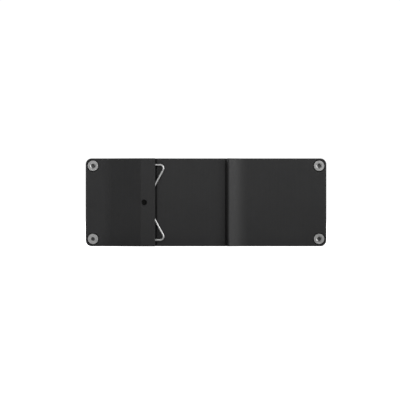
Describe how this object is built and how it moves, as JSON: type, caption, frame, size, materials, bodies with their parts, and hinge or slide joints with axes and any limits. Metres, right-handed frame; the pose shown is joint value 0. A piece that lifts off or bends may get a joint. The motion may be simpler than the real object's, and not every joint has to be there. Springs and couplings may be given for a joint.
{
  "type": "top-hat rail module",
  "caption": "Slim black metal electronics case that hooks onto a 35 mm top-hat rail with a fixed lip on one side and a sprung wire on the other.",
  "frame": {"origin": "middle of the long side that the case stands on, half way through its depth", "axes": "+X along the case, across the rail, from the sprung side to the fixed lip; +Y towards the front cover, away from the rail; +Z along the rail"},
  "size_m": [0.12, 0.028, 0.0438],
  "materials": {
    "black_anodised": "black anodised over a fine blasted surface, satin",
    "spring_wire": "bright drawn stainless spring wire",
    "screw_steel": "stainless, turned and slightly dull",
    "black_oxide_steel": "blackened steel",
    "overlay_film": "dark grey textured overlay film",
    "gasket_rubber": "black flat gasket sheet",
    "board_laminate": "green solder mask over glass laminate",
    "brass_spacer": "plain turned brass",
    "chip_moulding": "black moulded epoxy",
    "heat_pad_silicone": "grey soft silicone",
    "capacitor_sleeve": "dark shrink sleeve",
    "ferrite": "dark grey sintered ferrite",
    "copper_winding": "enamelled copper winding",
    "header_plastic": "black moulded nylon",
    "plug_plastic": "green moulded nylon",
    "tinned_contact": "tinned contact metal",
    "terminal_screw_steel": "zinc-plated slotted screw",
    "clear_lens": "clear moulded light guide",
    "led_resin": "pale LED resin",
    "button_plastic": "black moulded button"
  },
  "bodies": {
    "case": {"back_plate": "black_anodised", "rail_spring_centre": "spring_wire", "spring_set_screw": "black_oxide_steel", "rear_screws": "screw_steel", "rear_gasket": "gasket_rubber", "housing": "black_anodised", "front_gasket": "gasket_rubber", "front_cover": "black_anodised", "front_screws": "screw_steel", "front_overlay": "overlay_film", "circuit_board": "board_laminate", "board_standoffs": "brass_spacer", "board_screws": "screw_steel", "power_chips": "chip_moulding", "heat_pad": "heat_pad_silicone", "control_chip": "chip_moulding", "filter_capacitors": "capacitor_sleeve", "transformer_core": "ferrite", "transformer_coil": "copper_winding", "power_header": "header_plastic", "power_pins": "tinned_contact", "power_plug": "plug_plastic", "power_clamps": "tinned_contact", "power_plug_screws": "terminal_screw_steel", "signal_header": "header_plastic", "signal_pins": "tinned_contact", "signal_plug": "plug_plastic", "signal_clamps": "tinned_contact", "signal_plug_screws": "terminal_screw_steel", "light_pipe": "clear_lens", "status_leds": "led_resin", "reset_switch": "chip_moulding"},
    "upper_spring_arm": {"rail_spring_upper": "spring_wire"},
    "lower_spring_arm": {"rail_spring_lower": "spring_wire"},
    "reset_key": {"reset_button": "button_plastic"}
  },
  "joints": [
    {"name": "upper_loop_flex", "type": "hinge", "parent": "case", "child": "upper_spring_arm", "pos_m": [-0.02983, -0.0116, 0.02262], "axis": [0, -1, 0], "range_deg": [0, 8.5], "stiffness_Nm_per_rad": 1.5},
    {"name": "lower_loop_flex", "type": "hinge", "parent": "case", "child": "lower_spring_arm", "pos_m": [-0.02983, -0.0116, 0.02118], "axis": [0, 1, 0], "range_deg": [0, 8.5], "stiffness_Nm_per_rad": 1.5},
    {"name": "reset_press", "type": "slide", "parent": "case", "child": "reset_key", "axis": [0, -1, 0], "range_m": [0, 0.0005], "stiffness_N_per_m": 2500, "springref_m": -0.0002}
  ]
}
